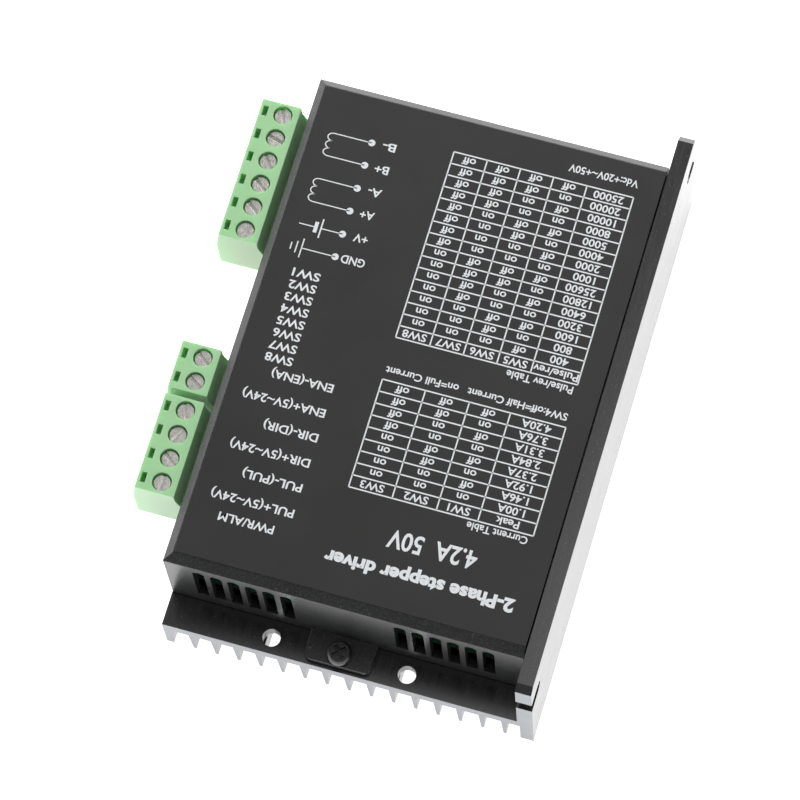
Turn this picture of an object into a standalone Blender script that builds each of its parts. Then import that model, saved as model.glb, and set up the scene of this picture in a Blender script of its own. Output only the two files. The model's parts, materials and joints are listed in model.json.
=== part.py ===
"""Stepper motor driver module: finned L-shaped heatsink, moulded cover, board and pluggable terminals.

Frame: origin under the middle of the heatsink, +Z out through the printed label,
+Y along the extrusion, the screw terminals on the -X side and the tall heatsink wall on the +X side.
All lengths are in metres.
"""

import math

import bmesh
import bpy
from mathutils import Matrix, Vector

MM = 0.001
GAP = 0.3 * MM          # air left between pieces that touch
OVERCUT = 1.0 * MM      # how far a cutter runs past the face that it opens
BITE = 0.5 * MM         # how far joined shapes reach into each other
WELD = 0.0001 * MM      # points closer than this are one point
X, Y, Z = Vector((1, 0, 0)), Vector((0, 1, 0)), Vector((0, 0, 1))

# --- heatsink extrusion -------------------------------------------------------------------
LENGTH = 118.0 * MM
WIDTH = 75.5 * MM
HEIGHT = 34.0 * MM
PLATE_TOP = 11.3 * MM
PLATE_THICK = 3.0 * MM
WALL_THICK = 3.2 * MM
WALL_FOOT_THICK = 2.7 * MM
WALL_END_BEVEL = 1.5 * MM
FIN_COUNT = 15
FIN_PITCH = 4.556 * MM
FIRST_FIN_X = -(FIN_COUNT - 1) / 2 * FIN_PITCH      # the middle fin is under the origin
FIN_ROOT, FIN_TIP = 1.3 * MM, 0.6 * MM
EDGE_FIN_ROOT, EDGE_FIN_TIP = 2.3 * MM, 1.5 * MM
SIDE_SLOT_WIDTH = 4.2 * MM       # open slots in the wall, for side mounting
SIDE_SLOT_DEPTH = 5.7 * MM
SIDE_SLOT_Z = 23.6 * MM
PLATE_HOLE_DIA = 3.6 * MM        # holes in the plate ends, for flat mounting
PLATE_HOLE_X = (-16.2 * MM, 11.4 * MM)
PLATE_HOLE_Y = 55.8 * MM

# --- moulded cover ------------------------------------------------------------------------
COVER_LENGTH = 104.4 * MM
COVER_SIDE_X = -37.6 * MM
COVER_WALL = 1.6 * MM
COVER_CHAMFER = 1.7 * MM
COVER_TOP = 33.7 * MM
TAB_WIDTH, TAB_THICK, TAB_END_Y = 13.5 * MM, 1.5 * MM, 58.3 * MM
TAB_CORNER = 1.5 * MM
VENT_WIDTH, VENT_PITCH, VENTS_PER_GROUP = 2.4 * MM, 3.52 * MM, 6
VENT_BOTTOM, VENT_TOP = 16.0 * MM, 29.8 * MM
VENT_GROUP_X = (-21.95 * MM, 18.45 * MM)
SIDE_NOTCH_Y = (-39.9 * MM, 46.9 * MM)
SIDE_NOTCH_TOP = 24.7 * MM
LABEL_INSET, LABEL_THICK, LABEL_GAP = 1.95 * MM, 0.2 * MM, 0.1 * MM

COVER_SCREW_X, COVER_SCREW_Y = -2.15 * MM, 55.9 * MM
COVER_SCREW_HEAD_DIA, COVER_SCREW_HEAD_HEIGHT = 5.0 * MM, 1.8 * MM
COVER_SCREW_SHANK_DIA = 2.4 * MM
PHILLIPS_SPAN, PHILLIPS_WIDTH, PHILLIPS_DEPTH = 3.0 * MM, 0.7 * MM, 1.0 * MM

# --- circuit board and what stands on it ----------------------------------------------------
SPACER_HEIGHT, SPACER_DIA, SPACER_BORE = 1.5 * MM, 4.5 * MM, 2.5 * MM
SPACER_X, SPACER_Y = (-32.2 * MM, 30.0 * MM), 45.6 * MM
BOARD_THICK = 1.6 * MM
BOARD_X = (-35.7 * MM, 33.4 * MM)
BOARD_HALF_LENGTH = 48.8 * MM
BOARD_TOP = PLATE_TOP + GAP + SPACER_HEIGHT + GAP + BOARD_THICK
ON_BOARD = BOARD_TOP + GAP
CAPACITOR_DIA, CAPACITOR_HEIGHT = 12.5 * MM, 16.0 * MM
CAPACITOR_X, CAPACITOR_Y = -16.5 * MM, (23.5 * MM, 38.0 * MM)
CAPACITOR_RIM, CAPACITOR_GROOVE_Z, CAPACITOR_GROOVE_HALF = 0.5 * MM, 1.9 * MM, 0.5 * MM
CHIP_SIZE, CHIP_HEIGHT, CHIP_CENTRE = 12.0 * MM, 1.5 * MM, (4.0 * MM, -14.0 * MM)
BRIDGE_Y = (-31.5 * MM, -10.5 * MM, 10.5 * MM, 31.5 * MM)
BRIDGE_WIDTH, BRIDGE_TAB_THICK, BRIDGE_BODY_THICK = 10.2 * MM, 1.3 * MM, 4.4 * MM
BRIDGE_BODY_BOTTOM, BRIDGE_BODY_TOP, BRIDGE_TAB_TOP = 17.6 * MM, 26.8 * MM, 31.6 * MM
LEAD_COUNT, LEAD_PITCH, LEAD_WIDTH, LEAD_THICK = 5, 1.7 * MM, 0.8 * MM, 0.6 * MM
THERMAL_PAD_THICK, PAD_OVERHANG = 0.4 * MM, 1.5 * MM
CLAMP_BAR_THICK, CLAMP_BAR_Z = 2.4 * MM, (20.0 * MM, 25.5 * MM)

# --- pluggable screw terminals --------------------------------------------------------------
POLE_PITCH = 5.08 * MM
PLUGS = (  # name, poles, y of the middle
    ("motor", 6, 30.76 * MM),
    ("enable", 2, -12.45 * MM),
    ("signal", 4, -28.86 * MM),
)
HEADER_FRONT_X, HEADER_DEPTH, HEADER_HEIGHT = -38.5 * MM, 11.9 * MM, 8.6 * MM
HEADER_END, HEADER_WALL, HEADER_BACK = 0.45 * MM, 1.0 * MM, 2.2 * MM
PLUG_TOP, PLUG_BOTTOM = 30.0 * MM, 15.1 * MM
PLUG_TOP_X = (-47.8 * MM, -39.8 * MM)
PLUG_FACE_X, PLUG_FACE_TOP = -48.65 * MM, 24.0 * MM
PLUG_STEP_TOP, PLUG_STEP_BOTTOM = 27.5 * MM, 24.5 * MM
PLUG_END_PLAY = 0.1 * MM
NOSE_LENGTH = 8.3 * MM
PIN_HOLE, PIN_HOLE_DEPTH = 1.7 * MM, 7.0 * MM     # square sockets in the nose for the header's pins
SCREW_X = -42.95 * MM
SCREW_BORE_DIA, SCREW_BORE_BOTTOM = 3.9 * MM, 27.5 * MM
SCREW_NECK_DIA = 3.0 * MM
SCREW_HEAD_DIA, SCREW_HEAD_TOP = 3.5 * MM, 29.4 * MM
SCREW_HEAD_BOTTOM, SCREW_TIP = 27.8 * MM, 22.5 * MM
SCREW_SHANK_DIA = 2.4 * MM
DRIVE_SLOT_WIDTH, DRIVE_SLOT_DEPTH = 0.75 * MM, 0.7 * MM
SCREW_TURNS = (-69, -16, -58, -37, -37, 43, -38, -32, -70, 60, -35, 88)  # degrees, as the slots were left
SCREW_HEAD_EDGE = 0.15 * MM
CHAMBER_X, CHAMBER_Y, CHAMBER_Z = 4.4 * MM, 4.2 * MM, (16.5 * MM, 26.3 * MM)
WIRE_WIDTH, WIRE_Z = 3.8 * MM, (17.6 * MM, 21.4 * MM)
TEST_HOLE_X, TEST_HOLE_LENGTH, TEST_HOLE_DEPTH = (-47.2 * MM, -46.15 * MM), 2.1 * MM, 3.0 * MM
CAGE_X, CAGE_Y, CAGE_Z = 3.4 * MM, 3.6 * MM, (17.0 * MM, 23.9 * MM)
CAGE_WALL = 0.6 * MM

# --- selector switch and lamps --------------------------------------------------------------
SWITCH_COUNT, SWITCH_PITCH = 8, 2.54 * MM
SWITCH_Y = 4.05 * MM
SWITCH_BODY = (6.4 * MM, 21.2 * MM, 8.8 * MM)
SWITCH_FRONT_X = -38.2 * MM
TRACK_WIDTH, TRACK_HEIGHT, TRACK_DEPTH, TRACK_Z = 1.5 * MM, 4.0 * MM, 1.6 * MM, 19.6 * MM
SLIDER_WIDTH, SLIDER_HEIGHT, SLIDER_STICK_OUT = 0.9 * MM, 1.8 * MM, 0.5 * MM
LAMP_Y = (("power", -42.6 * MM), ("alarm", -46.3 * MM))
LAMP_Z, LAMP_DIA, LAMP_FLANGE_DIA = 18.4 * MM, 2.9 * MM, 3.5 * MM
LAMP_TIP_X, LAMP_BACK_X = -38.3 * MM, -34.2 * MM
LAMP_HOLE_DIA, LAMP_FLANGE_THICK = 3.5 * MM, 1.0 * MM
LAMP_LEAD, LAMP_LEAD_SPREAD, LAMP_LEAD_RUN = 0.5 * MM, 2.0 * MM, 1.2 * MM

COLOURS = {  # colour, roughness, metallic
    "black_anodised": ((0.020, 0.021, 0.022), 0.42, 0.6),
    "black_plastic": ((0.030, 0.031, 0.032), 0.55, 0.0),
    "label_film": ((0.055, 0.055, 0.054), 0.5, 0.0),
    "black_steel": ((0.02, 0.02, 0.02), 0.35, 0.8),
    "board_green": ((0.01, 0.13, 0.07), 0.45, 0.0),
    "terminal_green": ((0.33, 0.62, 0.27), 0.45, 0.0),
    "nickel": ((0.62, 0.56, 0.51), 0.3, 1.0),
    "switch_red": ((0.55, 0.03, 0.03), 0.45, 0.0),
    "switch_white": ((0.85, 0.85, 0.82), 0.4, 0.0),
    "nylon": ((0.85, 0.85, 0.82), 0.5, 0.0),
    "lamp_green": ((0.15, 0.75, 0.25), 0.15, 0.0),
    "lamp_red": ((0.8, 0.07, 0.05), 0.15, 0.0),
    "epoxy": ((0.02, 0.02, 0.02), 0.6, 0.0),
    "pad_grey": ((0.45, 0.46, 0.47), 0.8, 0.0),
    "capacitor_sleeve": ((0.03, 0.04, 0.09), 0.4, 0.0),
}


def clear_scene():
    for item in list(bpy.data.objects):
        bpy.data.objects.remove(item, do_unlink=True)


def make_collection(name):
    collection = bpy.data.collections.new(name)
    bpy.context.scene.collection.children.link(collection)
    return collection


def make_materials():
    for name, (colour, roughness, metallic) in COLOURS.items():
        material = bpy.data.materials.new(name)
        material.use_nodes = True
        shader = material.node_tree.nodes["Principled BSDF"]
        shader.inputs["Base Color"].default_value = (*colour, 1.0)
        shader.inputs["Roughness"].default_value = roughness
        shader.inputs["Metallic"].default_value = metallic


clear_scene()
PARTS = make_collection("stepper_driver")
CUTTERS = make_collection("cutters")
make_materials()


# --- building blocks ------------------------------------------------------------------------

def mesh_from(bm, name):
    mesh = bpy.data.meshes.new(name)
    bm.to_mesh(mesh)
    bm.free()
    return mesh


def box(low, high):
    """A box between two corners, as a mesh."""
    low, high = Vector(low), Vector(high)
    bm = bmesh.new()
    place = Matrix.Translation((low + high) / 2) @ Matrix.Diagonal((*(high - low), 1.0))
    bmesh.ops.create_cube(bm, size=1.0, matrix=place)
    return mesh_from(bm, "box")


def rod(start, axis, length, diameter, end_diameter=None, sides=16):
    """A round bar or cone from start along axis."""
    end_diameter = diameter if end_diameter is None else end_diameter
    turn = Z.rotation_difference(axis).to_matrix().to_4x4()
    place = Matrix.Translation(Vector(start) + Vector(axis) * length / 2) @ turn
    bm = bmesh.new()
    bmesh.ops.create_cone(bm, cap_ends=True, segments=sides, radius1=diameter / 2,
                          radius2=end_diameter / 2, depth=length, matrix=place)
    return mesh_from(bm, "rod")


def outline_solid(points, thickness, place):
    """A flat outline extruded by half its thickness to each side of its own plane."""
    curve = bpy.data.curves.new("outline", "CURVE")
    curve.dimensions = "2D"
    curve.fill_mode = "BOTH"
    curve.extrude = thickness / 2
    spline = curve.splines.new("POLY")
    spline.points.add(len(points) - 1)
    for point, (u, v) in zip(spline.points, points):
        point.co = (u, v, 0.0, 1.0)
    spline.use_cyclic_u = True
    holder = bpy.data.objects.new("outline", curve)
    CUTTERS.objects.link(holder)
    bpy.context.view_layer.update()
    evaluated = holder.evaluated_get(bpy.context.evaluated_depsgraph_get())
    mesh = bpy.data.meshes.new_from_object(evaluated)
    bpy.data.objects.remove(holder, do_unlink=True)
    bm = bmesh.new()
    bm.from_mesh(mesh)
    bmesh.ops.remove_doubles(bm, verts=bm.verts, dist=WELD)
    bmesh.ops.dissolve_limit(bm, angle_limit=math.radians(0.1), verts=bm.verts, edges=bm.edges)
    bmesh.ops.transform(bm, matrix=place, verts=bm.verts)
    bmesh.ops.recalc_face_normals(bm, faces=bm.faces)
    bm.to_mesh(mesh)
    bm.free()
    return mesh


def along_y(middle_y=0.0):
    """Stands an outline drawn in X and Z so that its thickness runs along Y."""
    return Matrix.Translation(Y * middle_y) @ Matrix.Rotation(math.radians(90), 4, "X")


def along_x(middle_x):
    """Stands an outline drawn in Y and Z so that its thickness runs along X."""
    turn = Matrix(((0, 0, 1, 0), (1, 0, 0, 0), (0, 1, 0, 0), (0, 0, 0, 1)))
    return Matrix.Translation(X * middle_x) @ turn


def arc(centre, radius, start, end, steps):
    """Points on an arc, from start to end in degrees."""
    angles = [math.radians(start + (end - start) * i / steps) for i in range(steps + 1)]
    return [(centre[0] + radius * math.cos(a), centre[1] + radius * math.sin(a)) for a in angles]


def turned(profile, sides):
    """A profile of (radius, z) pairs, from the top of the axis to its bottom, turned about Z."""
    bm = bmesh.new()
    points = [bm.verts.new((radius, 0, z)) for radius, z in profile]
    for upper, lower in zip(points, points[1:]):
        bm.edges.new((upper, lower))
    holder = bpy.data.objects.new("profile", mesh_from(bm, "profile"))
    CUTTERS.objects.link(holder)
    screw = holder.modifiers.new("Screw", "SCREW")
    screw.axis = "Z"
    screw.steps = screw.render_steps = sides
    screw.use_merge_vertices = True
    screw.merge_threshold = WELD
    bpy.context.view_layer.update()
    evaluated = holder.evaluated_get(bpy.context.evaluated_depsgraph_get())
    mesh = bpy.data.meshes.new_from_object(evaluated)
    bpy.data.objects.remove(holder, do_unlink=True)
    bm = bmesh.new()
    bm.from_mesh(mesh)
    bmesh.ops.remove_doubles(bm, verts=bm.verts, dist=WELD)      # the points on the axis
    bmesh.ops.dissolve_degenerate(bm, dist=WELD, edges=bm.edges)
    bm.to_mesh(mesh)
    bm.free()
    return mesh


def add_part(name, mesh, material, origin=(0, 0, 0)):
    """Puts a mesh drawn in world coordinates into the model, with its origin where asked."""
    mesh.transform(Matrix.Translation(-Vector(origin)))
    mesh.name = name
    mesh.materials.clear()
    mesh.materials.append(bpy.data.materials[material])
    part = bpy.data.objects.new(name, mesh)
    part.location = origin
    PARTS.objects.link(part)
    return part


def combine(part, meshes, operation):
    """Cuts meshes out of a part, or joins them to it. Meshes for one call must not overlap."""
    bm = bmesh.new()
    for mesh in meshes:
        bm.from_mesh(mesh)
        bpy.data.meshes.remove(mesh)
    tool = bpy.data.objects.new(part.name + "_" + operation.lower(), mesh_from(bm, "tool"))
    tool.hide_render = True
    tool.display_type = "WIRE"
    CUTTERS.objects.link(tool)
    step = part.modifiers.new(operation.title(), "BOOLEAN")
    step.operation = operation
    step.object = tool
    step.solver = "EXACT"
    step.use_self = True         # the fins' caps need the exact solver's self-intersection pass


def cut(part, meshes):
    combine(part, meshes, "DIFFERENCE")


def join(part, meshes):
    combine(part, meshes, "UNION")


# --- heatsink -------------------------------------------------------------------------------

def heatsink_section():
    """The extrusion's section in X and Z, anticlockwise from the foot of the wall."""
    right, left = WIDTH / 2, -WIDTH / 2
    plate_bottom = PLATE_TOP - PLATE_THICK
    points = [(right, 0), (right, HEIGHT), (right - WALL_THICK, HEIGHT), (right - WALL_THICK, PLATE_TOP)]
    points += [(left, PLATE_TOP), (left, 0), (left + EDGE_FIN_TIP, 0), (left + EDGE_FIN_ROOT, plate_bottom)]
    for i in range(FIN_COUNT):
        middle = FIRST_FIN_X + i * FIN_PITCH
        points += [(middle - FIN_ROOT / 2, plate_bottom), (middle - FIN_TIP / 2, 0),
                   (middle + FIN_TIP / 2, 0), (middle + FIN_ROOT / 2, plate_bottom)]
    points += [(right - WALL_FOOT_THICK, plate_bottom), (right - WALL_FOOT_THICK, 0)]
    return points


def side_slot(end):
    """Round-ended slot cutter, open at the wall's end; end is -1 or 1."""
    radius = SIDE_SLOT_WIDTH / 2
    centre_y = LENGTH / 2 - SIDE_SLOT_DEPTH + radius
    points = arc((end * centre_y, SIDE_SLOT_Z), radius, 90, 90 + end * 180, 10)
    mouth = end * (LENGTH / 2 + OVERCUT)
    points += [(mouth, SIDE_SLOT_Z - radius), (mouth, SIDE_SLOT_Z + radius)]
    return outline_solid(points, WALL_THICK * 2, along_x(WIDTH / 2 - WALL_THICK / 2))


def end_bevel(end):
    """Wedge that takes the top corner off the wall's end; end is -1 or 1."""
    reach = WALL_END_BEVEL + 2 * OVERCUT
    corner = (end * (LENGTH / 2 + OVERCUT), HEIGHT + OVERCUT)
    points = [corner, (corner[0] - end * reach, corner[1]), (corner[0], corner[1] - reach)]
    return outline_solid(points, WALL_THICK * 2, along_x(WIDTH / 2 - WALL_THICK / 2))


def build_heatsink():
    heatsink = add_part("heatsink", outline_solid(heatsink_section(), LENGTH, along_y()), "black_anodised")
    bottom = PLATE_TOP - PLATE_THICK
    cutters = []
    for end in (-1, 1):
        cutters += [side_slot(end), end_bevel(end)]
        for hole_x in PLATE_HOLE_X:
            cutters.append(rod((hole_x, end * PLATE_HOLE_Y, bottom - OVERCUT), Z, PLATE_THICK + 2 * OVERCUT,
                               PLATE_HOLE_DIA, sides=24))
        cutters.append(rod((COVER_SCREW_X, end * COVER_SCREW_Y, bottom - OVERCUT), Z,
                           PLATE_THICK + 2 * OVERCUT, COVER_SCREW_SHANK_DIA + 2 * GAP))
    cut(heatsink, cutters)


# --- cover, label and cover screws ------------------------------------------------------------

def chamfered_block():
    """The cover's outside: a block whose three free top edges are chamfered."""
    inner_wall_x = WIDTH / 2 - WALL_THICK - GAP
    mesh = box((COVER_SIDE_X, -COVER_LENGTH / 2, PLATE_TOP + GAP), (inner_wall_x, COVER_LENGTH / 2, COVER_TOP))
    bm = bmesh.new()
    bm.from_mesh(mesh)
    top_edges = [edge for edge in bm.edges
                 if all(vert.co.z > COVER_TOP - WELD for vert in edge.verts)
                 and sum(vert.co.x for vert in edge.verts) / 2 < inner_wall_x - WELD]
    bmesh.ops.bevel(bm, geom=top_edges, offset=COVER_CHAMFER, segments=1, affect="EDGES")
    bm.to_mesh(mesh)
    bm.free()
    return mesh


def vent(middle_x):
    """One vent slot with a round top, long enough to open both end faces."""
    half = VENT_WIDTH / 2
    points = [(middle_x - half, VENT_BOTTOM), (middle_x + half, VENT_BOTTOM)]
    points += arc((middle_x, VENT_TOP - half), half, 0, 180, 8)
    return outline_solid(points, COVER_LENGTH + 2 * OVERCUT, along_y())


def tab(end):
    """Screw tab that lies on the plate, with two round corners; end is -1 or 1."""
    left, right = COVER_SCREW_X - TAB_WIDTH / 2, COVER_SCREW_X + TAB_WIDTH / 2
    root, tip = COVER_LENGTH / 2 - COVER_WALL / 2, TAB_END_Y
    points = [(left, root), (right, root)]
    points += arc((right - TAB_CORNER, tip - TAB_CORNER), TAB_CORNER, 0, 90, 4)
    points += arc((left + TAB_CORNER, tip - TAB_CORNER), TAB_CORNER, 90, 180, 4)
    points = [(u, end * v) for u, v in points]
    return outline_solid(points, TAB_THICK, Matrix.Translation(Z * (PLATE_TOP + GAP + TAB_THICK / 2)))


def build_cover():
    cover = add_part("cover", chamfered_block(), "black_plastic")
    inside_low = (COVER_SIDE_X + COVER_WALL, -COVER_LENGTH / 2 + COVER_WALL, PLATE_TOP - OVERCUT)
    inside_high = (WIDTH / 2, COVER_LENGTH / 2 - COVER_WALL, COVER_TOP - COVER_WALL)
    cut(cover, [box(inside_low, inside_high)])
    join(cover, [tab(end) for end in (-1, 1)])
    first = -(VENTS_PER_GROUP - 1) / 2
    openings = [vent(group + (first + i) * VENT_PITCH) for group in VENT_GROUP_X for i in range(VENTS_PER_GROUP)]
    side_x = (COVER_SIDE_X - OVERCUT, COVER_SIDE_X + COVER_WALL + OVERCUT)
    openings.append(box((side_x[0], SIDE_NOTCH_Y[0], PLATE_TOP - OVERCUT),
                        (side_x[1], SIDE_NOTCH_Y[1], SIDE_NOTCH_TOP)))
    for _, lamp_y in LAMP_Y:
        openings.append(rod((side_x[0], lamp_y, LAMP_Z), X, side_x[1] - side_x[0], LAMP_HOLE_DIA))
    for end in (-1, 1):
        openings.append(rod((COVER_SCREW_X, end * COVER_SCREW_Y, PLATE_TOP), Z, TAB_THICK + OVERCUT,
                            COVER_SCREW_SHANK_DIA + 2 * GAP))
    cut(cover, openings)


def build_label():
    low = Vector((COVER_SIDE_X + LABEL_INSET, -COVER_LENGTH / 2 + LABEL_INSET, COVER_TOP + LABEL_GAP))
    high = Vector((WIDTH / 2 - WALL_THICK - GAP, COVER_LENGTH / 2 - LABEL_INSET, 0))
    high.z = low.z + LABEL_THICK
    add_part("label_film", box(low, high), "label_film")


def build_cover_screw(name, end):
    """Pan-head screw with a cross recess."""
    axis = Vector((COVER_SCREW_X, end * COVER_SCREW_Y, 0))
    seat = PLATE_TOP + GAP + TAB_THICK + GAP
    shank_end = PLATE_TOP - PLATE_THICK + GAP
    profile = [(0.80, 1.0), (0.94, 0.72), (1.0, 0.35), (1.0, 0.0)]       # share of head radius and height
    curve = [(COVER_SCREW_HEAD_DIA / 2 * r, seat + COVER_SCREW_HEAD_HEIGHT * h) for r, h in profile]
    curve = [(0, seat + COVER_SCREW_HEAD_HEIGHT)] + curve
    curve += [(COVER_SCREW_SHANK_DIA / 2, seat), (COVER_SCREW_SHANK_DIA / 2, shank_end), (0, shank_end)]
    screw = add_part(name, turned(curve, 24), "black_steel")
    screw.location = axis
    half, top = PHILLIPS_SPAN / 2, seat + COVER_SCREW_HEAD_HEIGHT
    for turn in (45, 135):
        arm = box((-half, -PHILLIPS_WIDTH / 2, top - PHILLIPS_DEPTH), (half, PHILLIPS_WIDTH / 2, top + OVERCUT))
        arm.transform(Matrix.Translation(axis) @ Matrix.Rotation(math.radians(turn), 4, "Z"))
        cut(screw, [arm])


# --- board and electronics --------------------------------------------------------------------

def build_board():
    board = add_part("main_board", box((BOARD_X[0], -BOARD_HALF_LENGTH, BOARD_TOP - BOARD_THICK),
                                       (BOARD_X[1], BOARD_HALF_LENGTH, BOARD_TOP)), "board_green")
    holes = []
    number = 0
    for x in SPACER_X:
        for end in (-1, 1):
            number += 1
            foot = Vector((x, end * SPACER_Y, PLATE_TOP + GAP))
            spacer = add_part(f"board_spacer_{number}", rod(foot, Z, SPACER_HEIGHT, SPACER_DIA, sides=24), "nylon")
            cut(spacer, [rod(foot - Z * OVERCUT, Z, SPACER_HEIGHT + 2 * OVERCUT, SPACER_BORE, sides=12)])
            holes.append(rod(foot, Z, BOARD_TOP + OVERCUT - foot.z, SPACER_BORE + 2 * GAP))
    cut(board, holes)


def build_power_stage():
    back = WIDTH / 2 - WALL_THICK - GAP
    front = back - THERMAL_PAD_THICK
    reach = BRIDGE_Y[-1] + BRIDGE_WIDTH / 2 + PAD_OVERHANG
    add_part("thermal_pad", box((front, -reach, BRIDGE_BODY_BOTTOM - PAD_OVERHANG), (back, reach, BRIDGE_TAB_TOP)),
             "pad_grey")
    tab_back = front - GAP
    for number, middle in enumerate(BRIDGE_Y, 1):
        half = BRIDGE_WIDTH / 2
        body = box((tab_back - BRIDGE_BODY_THICK, middle - half, BRIDGE_BODY_BOTTOM),
                   (tab_back, middle + half, BRIDGE_BODY_TOP))
        bridge = add_part(f"half_bridge_{number}", body, "epoxy")
        extras = [box((tab_back - BRIDGE_TAB_THICK, middle - half, BRIDGE_BODY_TOP - BITE),
                      (tab_back, middle + half, BRIDGE_TAB_TOP))]
        for i in range(LEAD_COUNT):
            lead_y = middle + (i - (LEAD_COUNT - 1) / 2) * LEAD_PITCH
            lead_x = tab_back - BRIDGE_BODY_THICK / 2
            extras.append(box((lead_x - LEAD_THICK / 2, lead_y - LEAD_WIDTH / 2, ON_BOARD),
                              (lead_x + LEAD_THICK / 2, lead_y + LEAD_WIDTH / 2, BRIDGE_BODY_BOTTOM + BITE)))
        join(bridge, extras)
    bar_back = tab_back - BRIDGE_BODY_THICK - GAP
    add_part("clamp_bar", box((bar_back - CLAMP_BAR_THICK, -reach, CLAMP_BAR_Z[0]),
                              (bar_back, reach, CLAMP_BAR_Z[1])), "nickel")


def build_board_components():
    half = CHIP_SIZE / 2
    add_part("controller_chip", box((CHIP_CENTRE[0] - half, CHIP_CENTRE[1] - half, ON_BOARD),
                                    (CHIP_CENTRE[0] + half, CHIP_CENTRE[1] + half, ON_BOARD + CHIP_HEIGHT)), "epoxy")
    for number, y in enumerate(CAPACITOR_Y, 1):
        radius, top = CAPACITOR_DIA / 2, ON_BOARD + CAPACITOR_HEIGHT
        groove = ON_BOARD + CAPACITOR_GROOVE_Z
        dish = radius - 2.5 * CAPACITOR_RIM
        profile = [(0, top - CAPACITOR_RIM), (dish, top - CAPACITOR_RIM), (dish + CAPACITOR_RIM, top),
                   (radius - CAPACITOR_RIM, top), (radius, top - CAPACITOR_RIM),
                   (radius, groove + CAPACITOR_GROOVE_HALF), (radius - CAPACITOR_RIM, groove),
                   (radius, groove - CAPACITOR_GROOVE_HALF), (radius, ON_BOARD), (0, ON_BOARD)]
        capacitor = add_part(f"bulk_capacitor_{number}", turned(profile, 24), "capacitor_sleeve")
        capacitor.location = (CAPACITOR_X, y, 0)


def build_lamps():
    """Two small round lamps that look out through the cover's terminal side."""
    radius, flange = LAMP_DIA / 2, LAMP_FLANGE_DIA / 2
    length = LAMP_BACK_X - LAMP_TIP_X
    dome = [(radius * math.sin(math.radians(a)), length - radius * (1 - math.cos(math.radians(a))))
            for a in range(0, 91, 18)]
    profile = [(0 if i == 0 else r, z) for i, (r, z) in enumerate(dome)]
    profile += [(radius, LAMP_FLANGE_THICK), (flange, LAMP_FLANGE_THICK), (flange, 0), (0, 0)]
    for name, y in LAMP_Y:
        mesh = turned(profile, 16)
        mesh.transform(Matrix.Translation((LAMP_BACK_X, y, LAMP_Z)) @ Matrix.Rotation(math.radians(-90), 4, "Y"))
        lamp = add_part(f"{name}_lamp", mesh, "lamp_green" if name == "power" else "lamp_red")
        leads = []
        start, bend = LAMP_BACK_X - BITE, LAMP_BACK_X + LAMP_LEAD_RUN
        above, below = LAMP_Z + LAMP_LEAD / 2, LAMP_Z - LAMP_LEAD / 2
        elbow = [(start, above), (start, below), (bend, below), (bend, ON_BOARD),
                 (bend + LAMP_LEAD, ON_BOARD), (bend + LAMP_LEAD, above)]
        for side in (-1, 1):
            leads.append(outline_solid(elbow, LAMP_LEAD, along_y(y + side * LAMP_LEAD_SPREAD / 2)))
        join(lamp, leads)


# --- selector switch ----------------------------------------------------------------------------

def switch_y(number):
    """Middle of one lever; number 1 is at the +Y end."""
    return SWITCH_Y + ((SWITCH_COUNT + 1) / 2 - number) * SWITCH_PITCH


def build_selector_switch():
    depth, length, height = SWITCH_BODY
    body = add_part("selector_switch_body",
                    box((SWITCH_FRONT_X, SWITCH_Y - length / 2, ON_BOARD),
                        (SWITCH_FRONT_X + depth, SWITCH_Y + length / 2, ON_BOARD + height)), "switch_red")
    tracks = []
    for number in range(1, SWITCH_COUNT + 1):
        y = switch_y(number)
        tracks.append(box((SWITCH_FRONT_X - OVERCUT, y - TRACK_WIDTH / 2, TRACK_Z - TRACK_HEIGHT / 2),
                          (SWITCH_FRONT_X + TRACK_DEPTH, y + TRACK_WIDTH / 2, TRACK_Z + TRACK_HEIGHT / 2)))
        low_z = TRACK_Z - TRACK_HEIGHT / 2 + GAP
        origin = (SWITCH_FRONT_X, y, low_z + SLIDER_HEIGHT / 2)
        lever = box((SWITCH_FRONT_X - SLIDER_STICK_OUT, y - SLIDER_WIDTH / 2, low_z),
                    (SWITCH_FRONT_X + TRACK_DEPTH - GAP, y + SLIDER_WIDTH / 2, low_z + SLIDER_HEIGHT))
        add_part(f"selector_lever_{number}", lever, "switch_white", origin)
    cut(body, tracks)


# --- screw terminals ------------------------------------------------------------------------------

def pole_ys(poles, middle):
    """Pole centres, from the +Y end to the -Y end."""
    return [middle + ((poles - 1) / 2 - i) * POLE_PITCH for i in range(poles)]


def build_header(name, poles, middle):
    half = poles * POLE_PITCH / 2 + HEADER_END
    back = HEADER_FRONT_X + HEADER_DEPTH
    header = add_part(f"{name}_header", box((HEADER_FRONT_X, middle - half, ON_BOARD),
                                            (back, middle + half, ON_BOARD + HEADER_HEIGHT)), "terminal_green")
    inner = half - HEADER_WALL
    cut(header, [box((HEADER_FRONT_X - OVERCUT, middle - inner, ON_BOARD + HEADER_WALL),
                     (back - HEADER_BACK, middle + inner, ON_BOARD + HEADER_HEIGHT - HEADER_WALL))])


def plug_section():
    """The plug's outline in X and Z, without its nose."""
    inner = HEADER_FRONT_X - GAP
    return [(PLUG_FACE_X, PLUG_BOTTOM), (inner, PLUG_BOTTOM), (inner, PLUG_STEP_BOTTOM),
            (PLUG_TOP_X[1], PLUG_STEP_TOP), (PLUG_TOP_X[1], PLUG_TOP), (PLUG_TOP_X[0], PLUG_TOP),
            (PLUG_FACE_X, PLUG_FACE_TOP)]


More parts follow.
